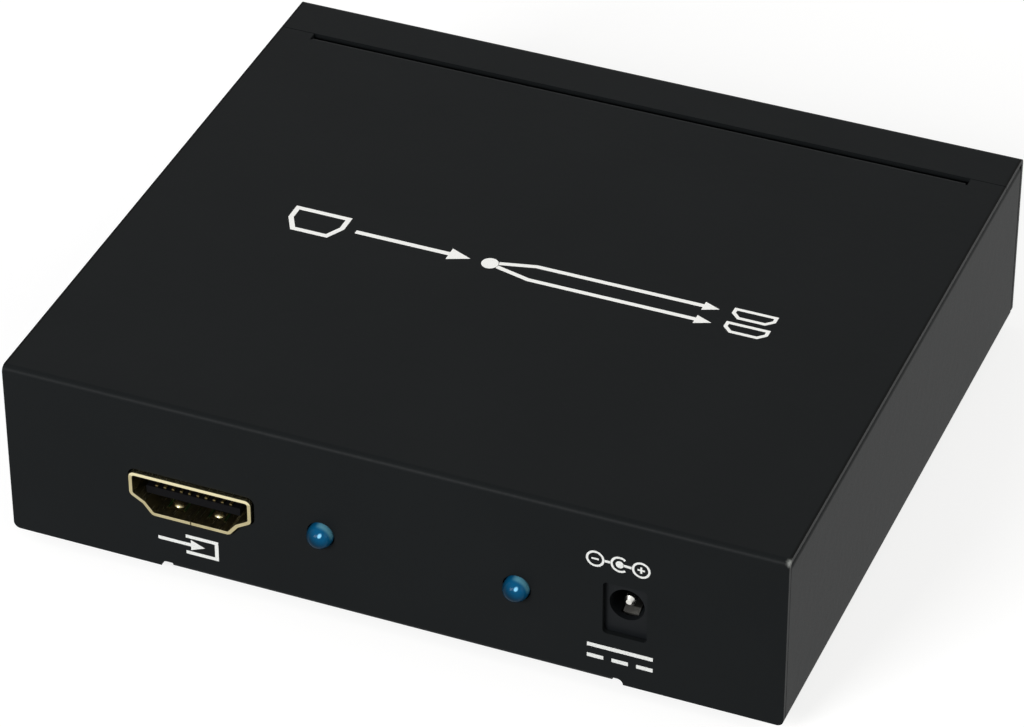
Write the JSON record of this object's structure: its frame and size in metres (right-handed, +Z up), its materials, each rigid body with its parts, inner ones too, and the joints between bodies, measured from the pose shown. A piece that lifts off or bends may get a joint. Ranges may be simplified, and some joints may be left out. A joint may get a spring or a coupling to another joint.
{
  "type": "video splitter",
  "caption": "Flat black sheet-steel video splitter box with a slide-off cover, gold-rimmed sockets front and rear, blue signal lamps, a power jack and rubber feet.",
  "frame": {"origin": "centre of the overall box in plan, on the surface that the rubber feet stand on", "axes": "+X to the right seen from the front, +Y to the rear, +Z up"},
  "size_m": [0.092, 0.0836, 0.0241],
  "materials": {
    "case_paint": "fine matte black powder coat",
    "board_laminate": "green solder mask on glass laminate",
    "zinc_steel": "zinc plated",
    "black_screw": "black oxide",
    "foot_rubber": "matte rubber",
    "gold_plate": "gold plated",
    "socket_plastic": "moulded black",
    "jack_plastic": "moulded black, slightly glossy",
    "tin_plate": "bright tin plate",
    "lamp_lens": "scattering blue resin",
    "chip_resin": "moulded resin",
    "pad_silicone": "soft filled silicone",
    "sink_aluminium": "extruded, plain",
    "can_aluminium": "drawn can with a dark band",
    "ferrite": "sintered ferrite",
    "ceramic": "fired ceramic"
  },
  "bodies": {
    "base": {"base_pan": "case_paint", "circuit_board": "board_laminate", "board_standoffs": "zinc_steel", "board_screws": "zinc_steel", "cover_screws": "black_screw", "clinch_nuts": "zinc_steel", "rubber_feet": "foot_rubber", "input_shell": "gold_plate", "input_insulator": "socket_plastic", "input_contacts": "gold_plate", "output_1_shell": "gold_plate", "output_1_insulator": "socket_plastic", "output_1_contacts": "gold_plate", "output_2_shell": "gold_plate", "output_2_insulator": "socket_plastic", "output_2_contacts": "gold_plate", "jack_body": "jack_plastic", "jack_pin": "tin_plate", "jack_leaf_terminal": "tin_plate", "power_lamp": "lamp_lens", "power_lamp_leads": "tin_plate", "power_lamp_holder": "socket_plastic", "signal_lamp": "lamp_lens", "signal_lamp_leads": "tin_plate", "signal_lamp_holder": "socket_plastic", "splitter_chip": "chip_resin", "thermal_pad": "pad_silicone", "heat_sink": "sink_aluminium", "memory_chips": "chip_resin", "memory_chip_legs": "tin_plate", "crystal": "zinc_steel", "regulator_body": "chip_resin", "regulator_legs": "tin_plate", "power_inductor": "ferrite", "capacitor_cans": "can_aluminium", "capacitor_bases": "socket_plastic", "ceramic_capacitors": "ceramic", "chip_resistors": "chip_resin"},
    "cover": {"cover": "case_paint"},
    "leaf": {"jack_leaf": "tin_plate"}
  },
  "joints": [
    {"name": "cover_slide", "type": "slide", "parent": "base", "child": "cover", "axis": [0, -1, 0], "range_m": [0, 0.066]},
    {"name": "jack_leaf_flex", "type": "hinge", "parent": "base", "child": "leaf", "pos_m": [0.0277, -0.0318, 0.0099], "axis": [1, 0, 0], "range_deg": [0, 5], "stiffness_Nm_per_rad": 0.07}
  ]
}
